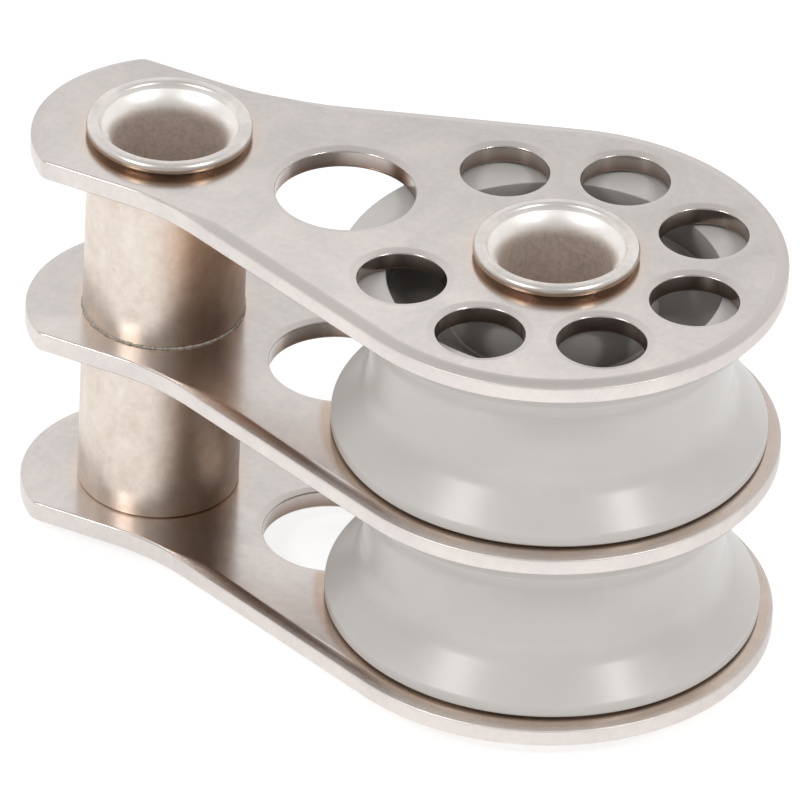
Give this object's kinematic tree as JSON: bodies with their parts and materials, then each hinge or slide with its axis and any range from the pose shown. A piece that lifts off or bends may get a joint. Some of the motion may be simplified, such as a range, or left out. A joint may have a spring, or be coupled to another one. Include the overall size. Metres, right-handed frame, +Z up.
{
  "type": "double sheave block",
  "caption": "Small riveted rope block: grooved plastic sheaves side by side on a hollow axle between drilled teardrop steel cheeks, with a hollow head rivet for a pin or lashing.",
  "frame": {"origin": "on the axle's axis, halfway through the middle cheek", "axes": "+Z along the axle, from the lower sheave to the upper one; the head with its hollow rivet points towards -X; +Y to the left when looking from the head to the sheaves with +Z up"},
  "size_m": [0.0365, 0.0214, 0.021],
  "materials": {
    "cheek_steel": "polished stainless sheet with tumbled edges",
    "rivet_steel": "polished stainless tube, bright flared lips",
    "tube_steel": "satin drawn stainless tube",
    "sheave_plastic": "light grey acetal, semi-gloss"
  },
  "bodies": {
    "frame": {"cheek_top": "cheek_steel", "cheek_middle": "cheek_steel", "cheek_bottom": "cheek_steel", "head_rivet": "rivet_steel", "axle_rivet": "rivet_steel", "head_spacer_upper": "tube_steel", "head_spacer_lower": "tube_steel", "axle_bush_upper": "tube_steel", "axle_bush_lower": "tube_steel"},
    "upper_sheave": {"sheave_upper": "sheave_plastic"},
    "lower_sheave": {"sheave_lower": "sheave_plastic"}
  },
  "joints": [
    {"name": "upper_sheave_spin", "type": "hinge", "parent": "frame", "child": "upper_sheave", "pos_m": [0, 0, 0.00466], "axis": [0, 0, 1], "continuous": true},
    {"name": "lower_sheave_spin", "type": "hinge", "parent": "frame", "child": "lower_sheave", "pos_m": [0, 0, -0.00466], "axis": [0, 0, 1], "continuous": true}
  ]
}
